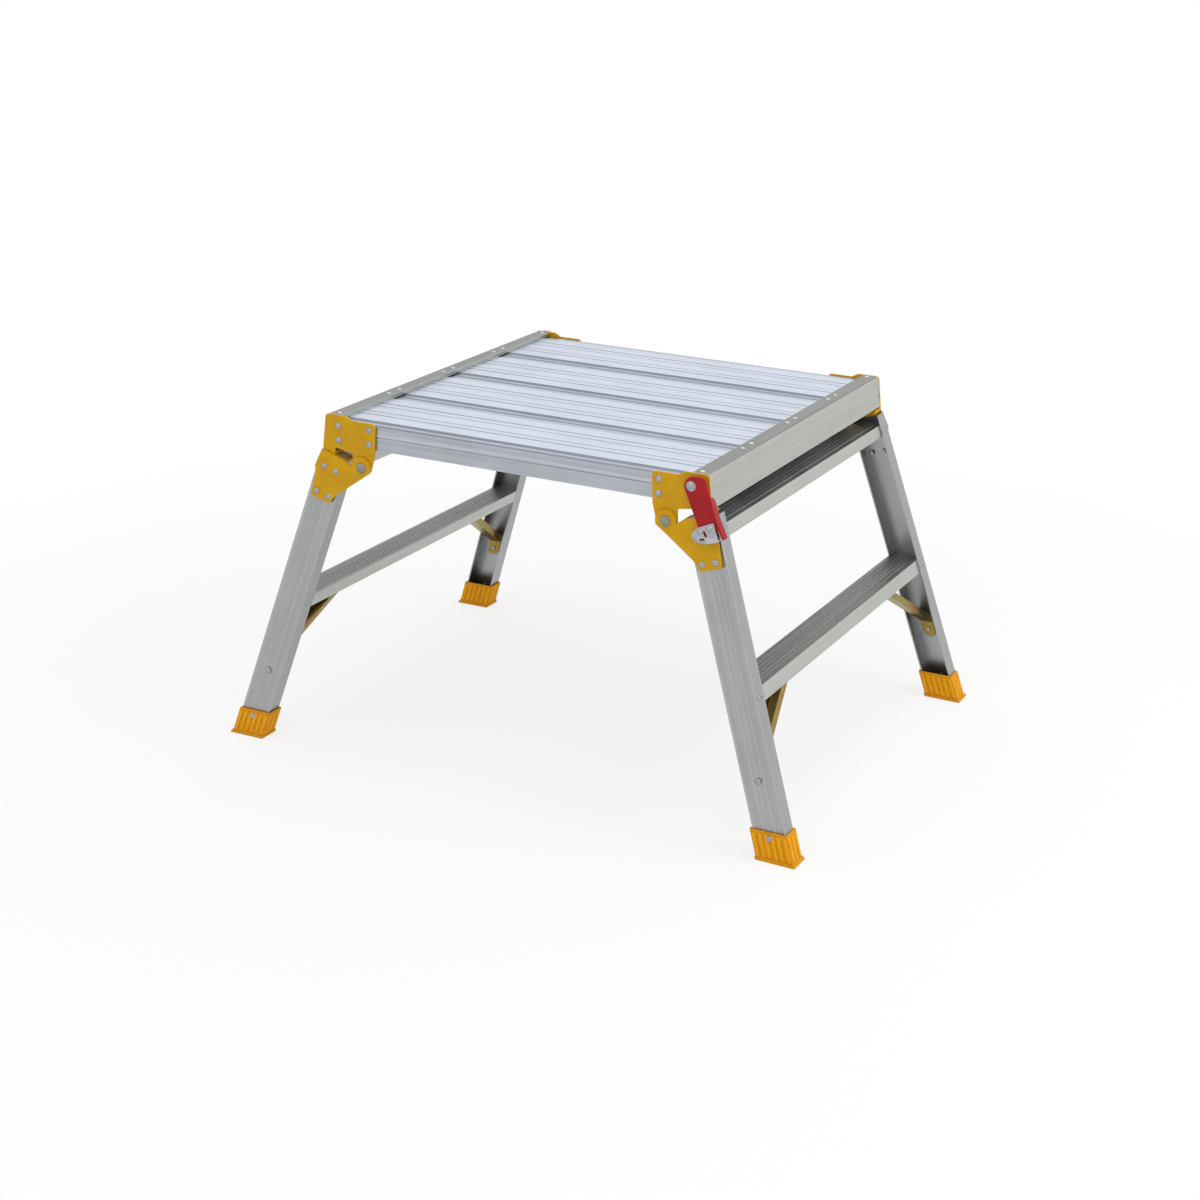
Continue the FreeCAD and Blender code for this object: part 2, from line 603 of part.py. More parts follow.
wide = lean_slab("brace_wide", "brace_width / 2")
narrow = lean_slab("brace_narrow", "brace_width / 2 - brace_sheet")
channel = cut("brace_channel", shared("brace_block", [deep, wide]), [narrow])
brace_body = joined("brace_body", [shared("brace_flat", [strip, wide]), channel])
brace_top_hole = prism("brace_top_hole", rings("brace_top_ring", "level", "step_top", top_spot[:1],
                       "2 + running_gap"), "2", "8")
brace = cut("brace_front_right", brace_body, [brace_hole_tool, brace_top_hole])

brace_low_raw = rivets("brace_low_rivet", "front", "-foot_y + lean_rise * brace_low",
                       brace_spot, "flute + leg_wall + brace_sheet + 0.3", tail=("rivet_tail", "tail_rise"))
brace_top_rivet = rivets("brace_top_rivet", "level", "step_top - 1.7", top_spot[:1],
                         "tread_skin + brace_sheet - 1.6", head=("2", "0.3"), shank="2",
                         tail=("rivet_tail", "tail_rise"))

# ---------------------------------------------------------------- feet
side_out = "leg_half + foot_gap + foot_wall"
foot_outer = slanted("foot_outer", level_outline("foot_outer_outline", "0", [
    ("-(%s)" % side_out, "-foot_gap - foot_wall"), (side_out, "-foot_gap - foot_wall"),
    (side_out, "leg_flange + foot_gap + foot_wall"),
    ("-(%s)" % side_out, "leg_flange + foot_gap + foot_wall")]), "foot_height")
foot_rim = slanted("foot_rim", level_outline("foot_rim_outline", "0", [
    ("-(%s) - foot_lip" % side_out, "-foot_gap - foot_wall - foot_lip"),
    ("%s + foot_lip" % side_out, "-foot_gap - foot_wall - foot_lip"),
    ("%s + foot_lip" % side_out, "leg_flange + foot_gap + foot_wall + foot_lip"),
    ("-(%s) - foot_lip" % side_out, "leg_flange + foot_gap + foot_wall + foot_lip")]), "5")
foot_inside = slanted("foot_inside", level_outline("foot_inside_outline", "foot_sole", [
    ("-leg_half - foot_gap", "-foot_gap"), ("leg_half + foot_gap", "-foot_gap"),
    ("leg_half + foot_gap", "leg_flange + foot_gap"),
    ("-leg_half - foot_gap", "leg_flange + foot_gap")]), "foot_height")
foot = cut("foot_front_right", joined("foot_body", [foot_outer, foot_rim]),
           [foot_inside, screw_hole_tool])
screw_raw = rivets("foot_screw", "front", "-foot_y - foot_gap - foot_wall + lean_rise * 33 - 0.4",
                   screw_spot, "foot_gap + foot_wall + flute + leg_wall + 1.2",
                   head=("4.5", "1.8"), shank="2", tail=("3", "2"))

# ---------------------------------------------------------------- cross rivets
cross_low = prism("cross_low", rings("cross_low_rings", "tilted", flange_plane, cross_spots,
                  "3.6"), "0.7")
cross_dome = prism("cross_dome", rings("cross_dome_rings", "tilted", flange_plane, cross_spots,
                   "2.6"), "1.4")
cross_stem = prism("cross_stem", rings("cross_stem_rings", "tilted", flange_plane, cross_spots,
                   "2"), "0.3", "leg_wall + tread_skin + 1")
end_plane = FreeCAD.Placement(flange_plane.Base - Vector(math.cos(splay), 0, math.sin(splay))
                              * (value("leg_wall") + value("tread_skin") + 0.3), tilt)
# the closed ends sit on a plane further in, so their centres move with the tilt
cross_end = prism("cross_end", rings("cross_end_rings", "tilted", end_plane, cross_spots, "3"),
                  "0", "1.2")
cross_raw = joined("cross_rivets_front", [cross_low, cross_dome, cross_stem, cross_end])

# ---------------------------------------------------------------- latch
lever_outline = outline("lever_outline", "front", "-lever_back", corner([
    ("31", "1.5"), ("-2", "1.5"), ("-2.7", "13"), ("-7.5", "27"), ("-17.3", "55.5"),
    ("-22.2", "66"), ("-16", "80"), ("3", "86"), ("9.3", "69"), ("31", "18")]))
lever_plate = rounded("lever_round", prism("lever_blank", lever_outline, "lever_sheet"), [
    (31, 1.5, 15), (-2, 1.5, 11), (-16, 80, 4), (3, 86, 4), (31, 18, 6)])
lever_side = prism("lever_side", outline("lever_side_outline", "front", "-lever_face", corner([
    ("-7.5", "27"), ("-17.3", "55.5"), ("-29.2", "81"), ("-26.6", "82.2"),
    ("-14.7", "56.4"), ("-5", "27.9")])), "0", "11.8")
lever_spot = corner([("lever_pin_inset", "lever_pin_drop")])
lever_hole = prism("lever_hole", rings("lever_hole_ring", "front", "-lever_back", lever_spot,
                   "lever_pin_radius + running_gap"), "6", "2")
lever = cut("lever_front_right", joined("lever_body", [lever_plate, lever_side]), [lever_hole])

spacer = prism("latch_spacer", rings("latch_spacer_ring", "front", "-bracket_face", lever_spot,
               "6"), "lever_back - bracket_face - 0.1")
lever_shaft = prism("lever_shaft", rings("lever_shaft_ring", "front", "-lever_back + 1", lever_spot,
                    "lever_pin_radius"), "lever_sheet + 1.6")
lever_head = prism("lever_head", rings("lever_head_ring", "front", "-lever_face - 0.1", lever_spot,
                   "7"), "1")
lever_dome = prism("lever_dome", rings("lever_dome_ring", "front", "-lever_face - 0.1", lever_spot,
                   "5.4"), "2")
lever_stem = prism("lever_stem", rings("lever_stem_ring", "front", "-bracket_face", lever_spot,
                   "rivet_shank"), "1", "%s + 0.5" % plate_grip)
lever_end = prism("lever_end", rings("lever_end_ring", "front", "-bracket_face + %s" % plate_grip,
                  lever_spot, "rivet_tail"), "0", "tail_rise")
latch_pin = joined("latch_pin_front_right", [spacer, lever_shaft, lever_head, lever_dome,
                                             lever_stem, lever_end])

catch_corners = [("8.7", "69.3"), ("-14.4", "59"), ("-22.2", "85"), ("-2", "90.3"),
                 ("12", "90"), ("17.5", "82")]
catch_rounds = [(8.7, 69.3, 2), (-14.4, 59, 2), (-22.2, 85, 2), (12, 90, 4), (17.5, 82, 6)]
base_corners = catch_corners[:4] + [("17", "90"), ("20.5", "85"), ("20.5", "80")]
base_rounds = catch_rounds[:3] + [(17, 90, 3), (20.5, 85, 3), (20.5, 80, 3)]
catch_base = rounded("catch_base_round", prism("catch_base", outline("catch_base_outline", "front",
                     "-plate_face", corner(base_corners)), "catch_sheet"), base_rounds)
catch_bridge = rounded("catch_bridge_round", prism("catch_bridge", outline("catch_bridge_outline",
                       "front", "-catch_top + catch_sheet", corner(catch_corners)),
                       "catch_sheet"), catch_rounds)
catch_wall = prism("catch_wall", outline("catch_wall_outline", "front", "-plate_face", corner([
    ("8", "77.5"), ("10.4", "76"), ("10.4", "89"), ("8", "89")])), "catch_top - plate_face")
catch_body = joined("catch_body", [catch_base, catch_bridge, catch_wall])
catch_hole = prism("catch_hole", rings("catch_hole_rings", "front", "-plate_face", high_spots,
                   "rivet_shank + running_gap"), "catch_sheet + 0.5", "1")
catch = cut("catch_front_right", catch_body, [catch_hole])

# ---------------------------------------------------------------- frames
# rivet heads are trimmed to the leaning faces they sit on
plate_low_front = cut("plate_low_front", low_raw, [leg_plate, leg])
plate_high_front = cut("plate_high_front", high_raw, [leg_plate, leg])
catch_fix_front = cut("catch_fix_front", catch_raw, [leg_plate, leg])
brace_low_front = cut("brace_low_front", brace_low_raw, [leg, brace])
screw_front = cut("screw_front", screw_raw, [foot, leg])
cross_front = cut("cross_front", cross_raw, [leg])
brace_set_front = group("brace_set_front", [brace_low_front, brace_top_rivet])


def four_corners(label, source, right_first=True):
    """Front right shape and its three mirror images."""
    left = mirrored(source.Name + "_fl", source, ACROSS)
    back = mirrored(source.Name + "_br", source, BEHIND)
    back_left = mirrored(source.Name + "_bl", left, BEHIND)
    node(label + "_front_right", source)
    node(label + "_front_left", left)
    node(label + "_back_right", back)
    node(label + "_back_left", back_left)


four_corners("leg", leg)
four_corners("leg_plate", leg_plate)
four_corners("brace", brace)
four_corners("foot", foot)
for label, source in (("step", step), ("top_bar", bar)):
    node(label + "_right", source)
    node(label + "_left", mirrored(label + "_left", source, ACROSS))

# latch parts stand at the front right and, turned half round, at the back left
for label, source in (("latch_lever", lever), ("latch_pin", latch_pin), ("latch_catch", catch)):
    across = mirrored(label + "_across", source, ACROSS)
    node(label + "_right", source)
    node(label + "_left", mirrored(label + "_turned", across, BEHIND))

for label, source in (("cross_rivets", cross_front), ("brace_rivets", brace_set_front),
                      ("foot_screws", screw_front)):
    back = mirrored(label + "_back", source, BEHIND)
    pair = group(label + "_pair", [source, back])
    node(label + "_right", pair)
    node(label + "_left", mirrored(label + "_pair_left", pair, ACROSS))

low_back = mirrored("plate_low_back", plate_low_front, BEHIND)
high_back = mirrored("plate_high_back", plate_high_front, BEHIND)
plate_rivets = group("plate_rivets", [plate_low_front, low_back, high_back, catch_fix_front])
node("leg_plate_rivets_right", plate_rivets)
rivets_across = mirrored("plate_rivets_across", plate_rivets, ACROSS)
node("leg_plate_rivets_left", mirrored("plate_rivets_turned", rivets_across, BEHIND))

# ---------------------------------------------------------------- checks and files
doc.recompute()
for thing in doc.Objects:
    if "Invalid" in thing.State or "Error" in thing.State:
        raise RuntimeError("%s does not compute: %s" % (thing.Name, thing.State))
for thing in nodes:
    if thing.Shape.isNull() or not thing.Shape.isValid() or not thing.Shape.Solids:
        raise RuntimeError("%s has no sound shape" % thing.Label)

os.makedirs("parts", exist_ok=True)
for thing in nodes:
    thing.Shape.exportStep("parts/%s.step" % thing.Label)
    box = thing.Shape.BoundBox
    print("%s solids %d volume %.0f box %.1f %.1f %.1f to %.1f %.1f %.1f" % (
        thing.Label, len(thing.Shape.Solids), thing.Shape.Volume,
        box.XMin, box.YMin, box.ZMin, box.XMax, box.YMax, box.ZMax))
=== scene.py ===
import json
import math

import bmesh
import bpy
from mathutils import Matrix, Vector

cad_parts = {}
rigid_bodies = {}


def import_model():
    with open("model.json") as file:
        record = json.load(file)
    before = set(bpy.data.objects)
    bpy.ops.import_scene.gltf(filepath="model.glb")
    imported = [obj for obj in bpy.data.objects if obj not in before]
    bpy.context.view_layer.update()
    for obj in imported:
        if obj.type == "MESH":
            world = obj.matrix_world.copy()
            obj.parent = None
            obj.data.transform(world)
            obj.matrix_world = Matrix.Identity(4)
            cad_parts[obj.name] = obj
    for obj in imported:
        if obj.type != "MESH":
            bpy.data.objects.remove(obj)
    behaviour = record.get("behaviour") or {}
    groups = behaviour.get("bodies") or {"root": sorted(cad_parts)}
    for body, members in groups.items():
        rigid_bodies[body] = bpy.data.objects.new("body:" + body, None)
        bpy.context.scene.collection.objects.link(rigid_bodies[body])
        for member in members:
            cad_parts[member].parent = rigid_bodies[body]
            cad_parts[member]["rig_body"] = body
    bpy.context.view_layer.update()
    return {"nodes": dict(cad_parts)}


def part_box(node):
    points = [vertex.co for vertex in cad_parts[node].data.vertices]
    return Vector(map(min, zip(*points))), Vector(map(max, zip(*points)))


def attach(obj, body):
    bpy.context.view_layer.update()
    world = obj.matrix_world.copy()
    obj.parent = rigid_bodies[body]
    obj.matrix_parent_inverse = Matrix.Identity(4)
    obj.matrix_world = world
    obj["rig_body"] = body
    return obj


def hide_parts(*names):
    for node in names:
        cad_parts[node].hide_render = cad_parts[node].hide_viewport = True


# Folding aluminium work platform: a ribbed deck on two splayed leg frames that fold
# under it.  X runs along the front edge, Y into the depth, Z up, in metres.

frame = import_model()

MM = 0.001
SPLAY = math.radians(17.8)  # lean of the legs along X
LEAN = math.radians(5)      # lean of the legs along Y
HALF_LENGTH = 300           # middle of the platform to the outer rail face, in mm
RAIL_TOP = 510              # floor to the top of the end rails, in mm
ALONG_X = (1, 0, 0)
ALONG_Y = (0, 1, 0)
UPRIGHT = (0, 0, 1)
SIDES = ((1, "right"), (-1, "left"))
ENDS = ((-1, "front"), (1, "back"))
BRUSHED_SHARE = 0.03        # length of a rolling line: its width over this share
DRAWN_SHARE = 0.012         # the same for the much longer lines of an extrusion die


# ---------------------------------------------------------------- materials
def linear(colour):
    """sRGB hex colour to the linear values that a shader takes."""
    channels = [int(colour[place:place + 2], 16) / 255 for place in (1, 3, 5)]
    return [c / 12.92 if c <= 0.04045 else ((c + 0.055) / 1.055) ** 2.4
            for c in channels] + [1]


def add_node(tree, kind, settings=None, inputs=None):
    """Adds a node; an input is a plain value or another node's output."""
    made = tree.nodes.new(kind)
    for name, value in (settings or {}).items():
        setattr(made, name, value)
    for name, value in (inputs or {}).items():
        if isinstance(value, bpy.types.NodeSocket):
            tree.links.new(value, made.inputs[name])
        else:
            made.inputs[name].default_value = value
    return made


def blank_material(name):
    material = bpy.data.materials.new(name)
    material.use_nodes = True
    material.node_tree.nodes.clear()
    return material, material.node_tree


def drawn_out(tree, direction, share):
    """Object coordinates squeezed along a direction, so that a noise draws out along it."""
    place = add_node(tree, "ShaderNodeTexCoord").outputs["Object"]
    unit = Vector(direction).normalized()
    run = add_node(tree, "ShaderNodeVectorMath", {"operation": "DOT_PRODUCT"},
                   {0: place, 1: unit})
    cut = add_node(tree, "ShaderNodeMath", {"operation": "MULTIPLY"},
                   {0: run.outputs["Value"], 1: share - 1})
    back = add_node(tree, "ShaderNodeVectorMath", {"operation": "SCALE"},
                    {0: unit, "Scale": cut.outputs[0]})
    moved = add_node(tree, "ShaderNodeVectorMath", {"operation": "ADD"},
                     {0: place, 1: back.outputs[0]})
    return moved.outputs[0]


def aluminium(name, pale, dark, direction, roughness, rib_pitch=None):
    """Aluminium as it leaves the extrusion die, with fine lines along its length and soft
    duller clouds from handling.  A rib pitch in millimetres adds fine anti-slip ribs, with
    painted shade darkening the troughs between them."""
    streak_size, line_size, cloud_size = 3.5, 0.9, 60  # mm; real lines are finer still
    material, tree = blank_material(name)
    place = add_node(tree, "ShaderNodeTexCoord").outputs["Object"]
    along = drawn_out(tree, direction, DRAWN_SHARE)
    streak = add_node(tree, "ShaderNodeTexNoise", None, {
        "Vector": along, "Scale": 1 / (streak_size * MM), "Detail": 3})
    line = add_node(tree, "ShaderNodeTexNoise", None, {
        "Vector": along, "Scale": 1 / (line_size * MM), "Detail": 1})
    cloud = add_node(tree, "ShaderNodeTexNoise", None, {
        "Vector": place, "Scale": 1 / (cloud_size * MM), "Detail": 3})
    patch = add_node(tree, "ShaderNodeMapRange", None, {
        "Value": cloud.outputs["Fac"], "From Min": 0.3, "From Max": 0.7, "To Max": 0.2})
    tone = add_node(tree, "ShaderNodeMath", {"operation": "MULTIPLY_ADD"}, {
        0: streak.outputs["Fac"], 1: 0.8, 2: patch.outputs["Result"]})
    contrast = add_node(tree, "ShaderNodeMapRange", None, {
        "Value": tone.outputs[0], "From Min": 0.2, "From Max": 0.8})
    colour = add_node(tree, "ShaderNodeMix", {"data_type": "RGBA"}, {
        0: contrast.outputs["Result"], 6: linear(dark), 7: linear(pale)})
    height = line.outputs["Fac"]
    depth = 0.03 * MM
    if rib_pitch:
        # the wave texture turns once in 2 pi / 20 of its scaled coordinate
        across = Vector(direction).cross(Vector(UPRIGHT)).normalized()
        ribs = add_node(tree, "ShaderNodeTexWave", {
            "bands_direction": "X" if abs(across.x) > 0.5 else "Y"}, {
            "Vector": place, "Scale": 2 * math.pi / (20 * rib_pitch * MM), "Distortion": 0})
        # painted shade: the troughs between the ribs are mixed towards the dark tone
        crest = add_node(tree, "ShaderNodeMapRange", None, {
            "Value": ribs.outputs["Fac"], "From Max": 0.45, "To Max": 0.55})
        rib_trough_shade = add_node(tree, "ShaderNodeMath", {"operation": "ADD"}, {
            0: crest.outputs["Result"], 1: 0.45})
        colour = add_node(tree, "ShaderNodeMix", {"data_type": "RGBA"}, {
            0: rib_trough_shade.outputs[0], 6: linear(dark), 7: colour.outputs[2]})
        height = add_node(tree, "ShaderNodeMath", {"operation": "MULTIPLY_ADD"}, {
            0: line.outputs["Fac"], 1: 0.15, 2: ribs.outputs["Fac"]}).outputs[0]
        depth = 0.14 * MM
    bump = add_node(tree, "ShaderNodeBump", None, {
        "Strength": 0.6, "Distance": depth, "Height": height})
    gloss = add_node(tree, "ShaderNodeMapRange", None, {
        "Value": cloud.outputs["Fac"], "From Min": 0.3, "From Max": 0.7,
        "To Min": roughness - 0.05, "To Max": roughness + 0.06})
    shader = add_node(tree, "ShaderNodeBsdfPrincipled", None, {
        "Base Color": colour.outputs[2], "Metallic": 1.0,
        "Roughness": gloss.outputs["Result"], "Normal": bump.outputs[0]})
    add_node(tree, "ShaderNodeOutputMaterial", None, {"Surface": shader.outputs[0]})
    return material


def coated(name, colour, deep, roughness, grain_size, patch_size, grain_depth, grain_detail,
           grain_strength, spread):
    """Even coloured skin with a fine grain: deeper tone and duller gloss in soft patches.
    Sizes and depth in millimetres; spread is how far the roughness goes down and up."""
    material, tree = blank_material(name)
    place = add_node(tree, "ShaderNodeTexCoord").outputs["Object"]
    grain = add_node(tree, "ShaderNodeTexNoise", None, {
        "Vector": place, "Scale": 1 / (grain_size * MM), "Detail": grain_detail})
    patch = add_node(tree, "ShaderNodeTexNoise", None, {
        "Vector": place, "Scale": 1 / (patch_size * MM), "Detail": 2})
    thick = add_node(tree, "ShaderNodeMapRange", None, {
        "Value": patch.outputs["Fac"], "From Min": 0.3, "From Max": 0.7})
    tint = add_node(tree, "ShaderNodeMix", {"data_type": "RGBA"}, {
        0: thick.outputs["Result"], 6: linear(deep), 7: linear(colour)})
    gloss = add_node(tree, "ShaderNodeMapRange", None, {
        "Value": patch.outputs["Fac"], "From Min": 0.3, "From Max": 0.7,
        "To Min": roughness - spread[0], "To Max": roughness + spread[1]})
    bump = add_node(tree, "ShaderNodeBump", None, {
        "Strength": grain_strength, "Distance": grain_depth * MM,
        "Height": grain.outputs["Fac"]})
    shader = add_node(tree, "ShaderNodeBsdfPrincipled", None, {
        "Base Color": tint.outputs[2], "Roughness": gloss.outputs["Result"],
        "IOR": 1.5, "Specular IOR Level": 0.2, "Normal": bump.outputs[0]})
    add_node(tree, "ShaderNodeOutputMaterial", None, {"Surface": shader.outputs[0]})
    return material


def powder_coat(name, colour, deep, roughness):
    """Powder coat baked on pressed steel: an orange-peel skin with grains of 1.5 mm."""
    return coated(name, colour, deep, roughness, grain_size=1.5, patch_size=25,
                  grain_depth=0.06, grain_detail=1, grain_strength=0.35,
                  spread=(0.04, 0.05))


def rubber(name, colour, deep):
    """Moulded thermoplastic rubber with a spark-eroded grain of 0.7 mm."""
    return coated(name, colour, deep, 0.56, grain_size=0.7, patch_size=9,
                  grain_depth=0.08, grain_detail=2, grain_strength=0.5,
                  spread=(0.06, 0.06))


def plated_steel(name, first, second, third, roughness, flame_share=1.0, flame_size=14):
    """Plated metal.  The thin film goes from one tint to another in soft flames of the
    given size in millimetres, and the strip it was cut from keeps faint rolling lines."""
    material, tree = blank_material(name)
    along = drawn_out(tree, UPRIGHT, flame_share)
    flame = add_node(tree, "ShaderNodeTexNoise", None, {
        "Vector": along, "Scale": 1 / (flame_size * MM), "Detail": 3, "Roughness": 0.6})
    small_flame = add_node(tree, "ShaderNodeTexNoise", None, {
        "Vector": along, "Scale": 1 / (flame_size * 0.45 * MM), "Detail": 2})
    grain = add_node(tree, "ShaderNodeTexNoise", None, {
        "Vector": drawn_out(tree, UPRIGHT, BRUSHED_SHARE), "Scale": 1 / (0.8 * MM),
        "Detail": 1})
    turn = add_node(tree, "ShaderNodeMapRange", None, {
        "Value": flame.outputs["Fac"], "From Min": 0.38, "From Max": 0.62})
    colour = add_node(tree, "ShaderNodeMix", {"data_type": "RGBA"}, {
        0: turn.outputs["Result"], 6: linear(first), 7: linear(second)})
    tip = add_node(tree, "ShaderNodeMapRange", None, {
        "Value": small_flame.outputs["Fac"], "From Min": 0.5, "From Max": 0.72,
        "To Max": 0.8})
    colour = add_node(tree, "ShaderNodeMix", {"data_type": "RGBA"}, {
        0: tip.outputs["Result"], 6: colour.outputs[2], 7: linear(third)})
    gloss = add_node(tree, "ShaderNodeMapRange", None, {
        "Value": small_flame.outputs["Fac"], "From Min": 0.3, "From Max": 0.7,
        "To Min": roughness - 0.04, "To Max": roughness + 0.06})
    bump = add_node(tree, "ShaderNodeBump", None, {
        "Strength": 0.4, "Distance": 0.02 * MM, "Height": grain.outputs["Fac"]})
    shader = add_node(tree, "ShaderNodeBsdfPrincipled", None, {
        "Base Color": colour.outputs[2], "Metallic": 1.0,
        "Roughness": gloss.outputs["Result"], "Normal": bump.outputs[0]})
    add_node(tree, "ShaderNodeOutputMaterial", None, {"Surface": shader.outputs[0]})
    return material


def leg_way(side, end):
    """Direction of a leg upwards; side is 1 at the right, end is -1 at the front."""
    return Vector((-side * math.tan(SPLAY), -end * math.tan(LEAN), 1)).normalized()


# Plank lands: extruded aluminium with fine anti-slip ribs.  Boots polish the ribs, so the
# lands are the palest metal, a cool near-white with fine lines along the planks.
deck_metal = aluminium("mill_aluminium_deck", "#DCE3F0", "#CBD2DE", ALONG_X, 0.42,
                       rib_pitch=2.4)
# Plank shoulders: the same extrusion without ribs.  A plain band painted a tone darker
# than the lands, as the shade of the sloped shoulder.
shoulder_shade_metal = aluminium("mill_aluminium_plank_shoulder_painted_shade", "#C6CCD6", "#B2B8C2", ALONG_X, 0.4)
# Grooves beside the joints: the same extrusion, painted a dull grey as the shade inside
# the grooves, so that each joint reads as a thin line.
groove_shade_metal = aluminium("aluminium_plank_groove_painted_shade", "#929AA6", "#828994", ALONG_X, 0.5)
# Outer plank sides: extruded aluminium, lightly satin from the die.  Long soft highlights
# along the front edge.
plank_side_metal = aluminium("satin_aluminium_plank_side", "#BCBFC6", "#9FA2A8", ALONG_X,
                             0.38)
# End rails: extruded aluminium, satin from the die.  A slightly warm grey with highlights
# drawn out along the rail.
rail_metal = aluminium("satin_aluminium_rail", "#BDBFB9", "#A9ABA5", ALONG_Y, 0.36)
# Rail tops: the same extrusion, duller, and painted darker as shade on the upward faces.
rail_top_shade_metal = aluminium("aluminium_rail_top_painted_shade", "#9C9C9A", "#868684", ALONG_Y,
                           0.45)
# Treads of steps and crossbars: extruded aluminium with ribs.  Painted a darker grey as
# shade on the upward faces, with a rib every 3 mm.
tread_shade_metal = aluminium("ribbed_aluminium_tread_painted_shade", "#969894", "#7C7E7A", ALONG_Y, 0.42,
                        rib_pitch=3.0)
# Sides of steps and crossbars: extruded aluminium, satin from the die.  Pale and plain.
step_metal = aluminium("satin_aluminium_step", "#C0C2BD", "#AEB0AB", ALONG_Y, 0.36)
# Legs: extruded aluminium channel, satin from the die.  Mid grey with fine lines that
# follow each leg, so every leg has its own direction.
leg_metals = {}
for side, side_name in SIDES:
    for end, end_name in ENDS:
        leg_metals[end_name + "_" + side_name] = aluminium(
            "satin_aluminium_leg_%s_%s" % (end_name, side_name), "#AEB0B0", "#9A9B9C",
            leg_way(side, end), 0.38)
# Brackets and leg plates: pressed steel, powder coated and baked.  A deep even yellow with
# a soft gloss.
yellow_coat = powder_coat("yellow_powder_coat_steel", "#D2A000", "#C69400", 0.42)
# Their edges: the coat runs thin over a pressed edge and shines more.  A paler rim, partly
# real wear of the thin coat and partly a painted highlight.
yellow_edge_wear_and_highlight = powder_coat("yellow_powder_coat_edge_wear_painted_highlight", "#E6B408", "#D8A402", 0.34)
# Latch levers: pressed steel, powder coated and baked.  A strong red, glossier than the
# yellow.
red_coat = powder_coat("red_powder_coat_steel", "#AC1A20", "#981218", 0.36)
# Lever edges: the same thin coat over a pressed edge.  A paler red rim, partly real wear of
# the thin coat and partly a painted highlight.
red_edge_wear_and_highlight = powder_coat("red_powder_coat_edge_wear_painted_highlight", "#BE2A30", "#AC1C22", 0.3)
# Braces: steel strip, zinc plated and yellow passivated.  Olive gold with coppery flames
# along the strip.
brace_metal = plated_steel("yellow_zinc_steel_brace", "#A08638", "#8A8448", "#A6694C", 0.34,
                           flame_share=0.3, flame_size=20)
# Rivets and foot screws: drawn aluminium and steel with a satin head.  Plain mid grey
# buttons.
rivet_metal = plated_steel("satin_rivet_aluminium", "#A2A3A6", "#96979A", "#AEAFB2", 0.3)
# Rail rivets: the same rivet, rubbed bright by boots.  Light dots along the rails.
bright_rivet = plated_steel("bright_rail_rivet_aluminium", "#D0D1D4", "#C4C5C8", "#DADBDE",
                            0.34)
# Hinge pins: turned steel, zinc plated and dulled by weather.  Warm dark grey.
pin_metal = plated_steel("dull_zinc_pin", "#8E8E84", "#7E7E76", "#9C9C92", 0.4)
# Latch catches: pressed steel, nickel and chrome plated.  Sharp bright reflections.
chrome = plated_steel("bright_nickel_chrome_catch", "#A6A6AA", "#9C9CA0", "#BEBEC2", 0.14,
                      flame_size=30)
# Boot walls between the ribs: moulded rubber.  Matt, painted a deeper orange as the shade
# of its hollows.
shaded_boot_rubber = rubber("orange_moulded_rubber_painted_groove_shade", "#DA9400", "#CC8600")
# Boot ribs: the same moulding where it stands proud.  Matt, and painted yellower as the lit
# tone of the ribs.
lit_rib_rubber = rubber("yellow_moulded_rubber_rib_painted_light", "#EBA600", "#E29C00")
# Cut edges of rails and legs: sawn aluminium, deburred and rubbed bright.  A thin light
# line, partly that real rubbing and partly a painted highlight along the edge.
rubbed_edge_and_highlight = aluminium("rubbed_aluminium_edge_painted_highlight", "#D6D8D6", "#C2C4C2", ALONG_Y, 0.3)


# ---------------------------------------------------------------- making pieces
MERGE_GAP = 0.005 * MM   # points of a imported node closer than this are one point
FLAT_WITHIN = math.radians(0.6)
SHARP_FROM = math.radians(28)


def placed(name, mesh):
    """Object in the scene made from a bmesh, which is freed."""
    data = bpy.data.meshes.new(name)
    mesh.to_mesh(data)
    mesh.free()
    thing = bpy.data.objects.new(name, data)
    bpy.context.scene.collection.objects.link(thing)
    return thing


def join(whole, part):
    """Adds one bmesh to another and frees it."""
    data = bpy.data.meshes.new("joined")
    part.to_mesh(data)
    part.free()
    whole.from_mesh(data)
    bpy.data.meshes.remove(data)


def finished(mesh, node, materials, smooth=20):
    """Makes a bmesh the piece that stands for a node and rides on the node's body."""
    piece = placed(node + "_finished", mesh)
    for material in materials:
        piece.data.materials.append(material)
    piece.data.polygons.foreach_set("use_smooth", [True] * len(piece.data.polygons))
    piece.data.set_sharp_from_angle(angle=math.radians(smooth))
    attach(piece, frame["nodes"][node]["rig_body"])
    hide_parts(node)


def merged_copy(node):
    """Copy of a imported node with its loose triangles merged."""
    mesh = bmesh.new()
    mesh.from_mesh(frame["nodes"][node].data)
    bmesh.ops.remove_doubles(mesh, verts=mesh.verts, dist=MERGE_GAP)
    return mesh


def solid_copy(node):
    """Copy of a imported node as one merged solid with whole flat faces."""
    mesh = merged_copy(node)
    bmesh.ops.dissolve_limit(mesh, angle_limit=FLAT_WITHIN, use_dissolve_boundaries=False,
                             verts=mesh.verts, edges=mesh.edges)
    for face in mesh.faces:
        face.material_index = 0
    return mesh


def rounded(mesh, edges, width, segments):
    """Rounds edges over a width in millimetres, and gives the new faces."""
    made = bmesh.ops.bevel(mesh, geom=edges, offset=width * MM, offset_type="OFFSET",
                           segments=segments, profile=0.5, affect="EDGES",
                           clamp_overlap=True, material=-1)
    return made["faces"]


